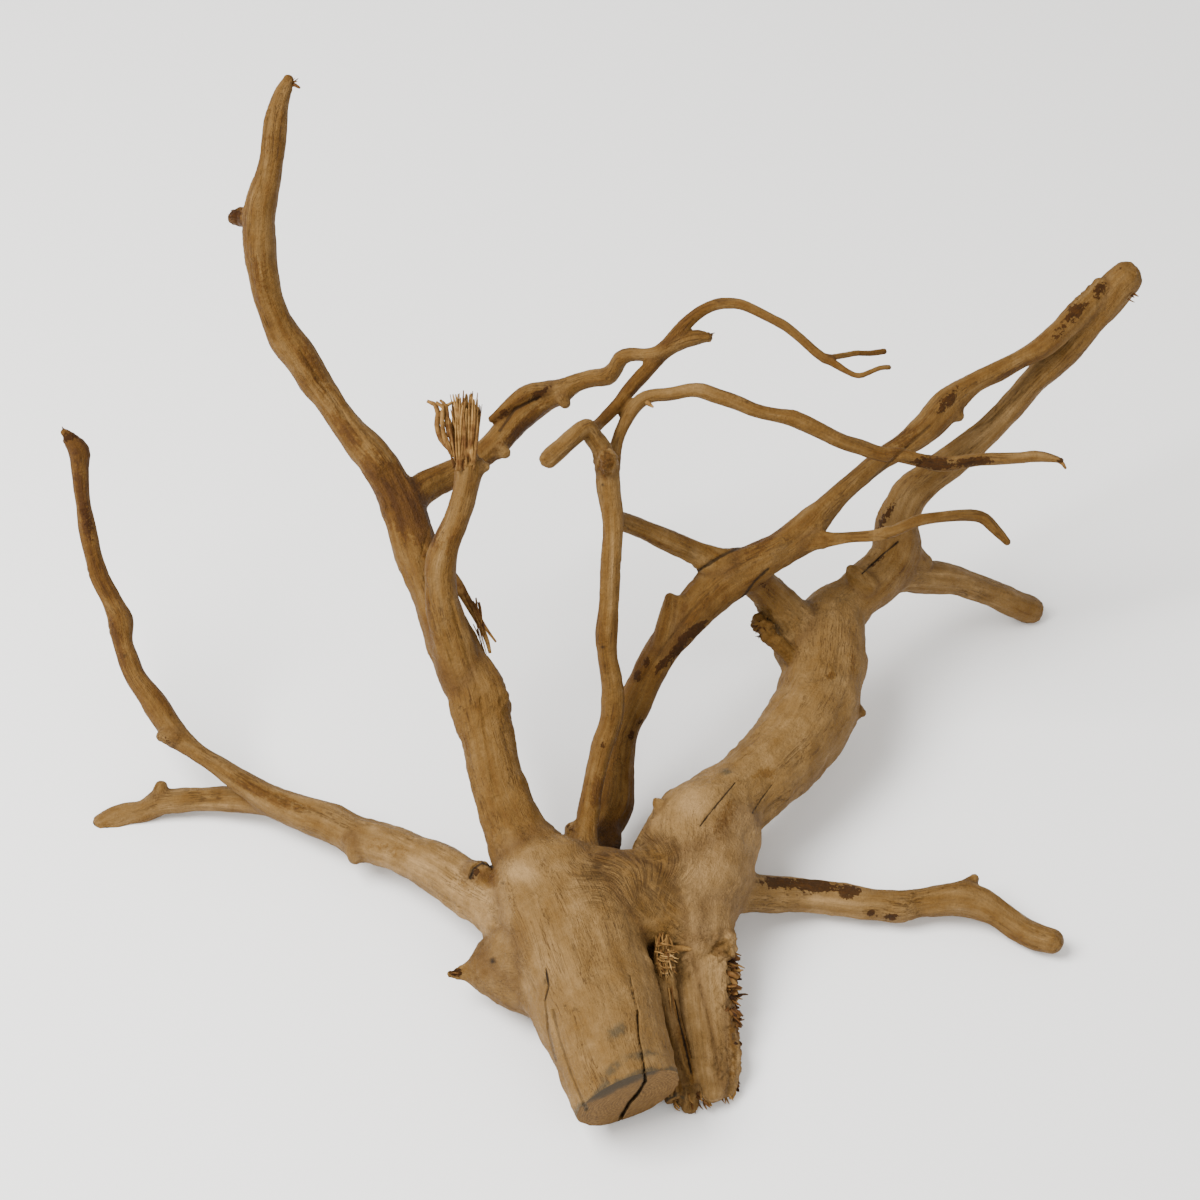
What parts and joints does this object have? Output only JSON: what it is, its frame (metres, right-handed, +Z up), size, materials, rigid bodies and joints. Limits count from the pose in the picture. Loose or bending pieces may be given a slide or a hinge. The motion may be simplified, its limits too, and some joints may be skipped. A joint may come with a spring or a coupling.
{
  "type": "spiderwood root",
  "caption": "Bare branching azalea root with a sawn, split stump, tapering limbs, frayed broken tips and thin curling twigs, lying on three low points.",
  "frame": {"origin": "centre of the root's footprint, on the surface it lies on", "axes": "+X to the right along the fan of limbs, +Y away from the sawn stump toward the limbs, +Z up"},
  "size_m": [0.5892, 0.4428, 0.3475],
  "materials": {
    "wood": "dry, bark-free root wood, pale tan with amber and dark brown patches, matt"
  },
  "bodies": {
    "root": {"spiderwood_root": "wood"}
  },
  "joints": []
}
